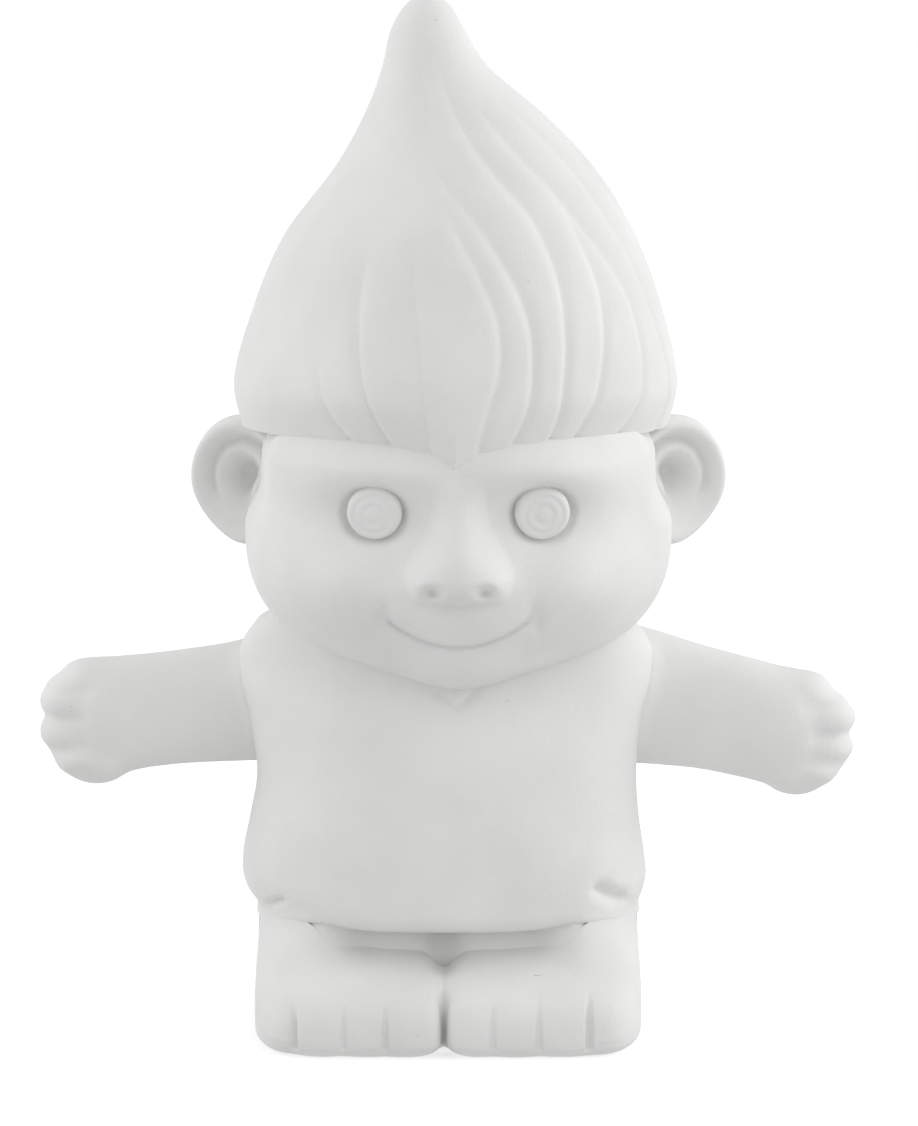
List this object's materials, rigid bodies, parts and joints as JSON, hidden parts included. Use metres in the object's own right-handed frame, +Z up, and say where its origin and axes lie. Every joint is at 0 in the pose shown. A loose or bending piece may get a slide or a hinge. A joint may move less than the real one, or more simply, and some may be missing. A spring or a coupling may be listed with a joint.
{
  "type": "coin bank",
  "caption": "Hollow bisque troll figure coin bank with swept-up hair and arms held out, a coin slot in the back of the hair and a rubber stopper in the base.",
  "frame": {"origin": "under the middle of the figure's bounding box, on the surface it stands on", "axes": "+Z up, the face looks along -Y, +X to the viewer's right"},
  "size_m": [0.1596, 0.083, 0.2001],
  "materials": {
    "bisque": "unglazed, matt, fine grain",
    "stopper_rubber": "moulded, satin"
  },
  "bodies": {
    "figure": {"hair_shell": "bisque", "head_shell": "bisque", "left_ear": "bisque", "right_ear": "bisque", "left_eye": "bisque", "right_eye": "bisque", "tunic_shell": "bisque", "left_arm": "bisque", "right_arm": "bisque", "leg_base": "bisque", "left_foot": "bisque", "right_foot": "bisque"},
    "stopper": {"stopper": "stopper_rubber"}
  },
  "joints": [
    {"name": "stopper_pull", "type": "slide", "parent": "figure", "child": "stopper", "axis": [0, 0, -1], "range_m": [0, 0.025]}
  ]
}
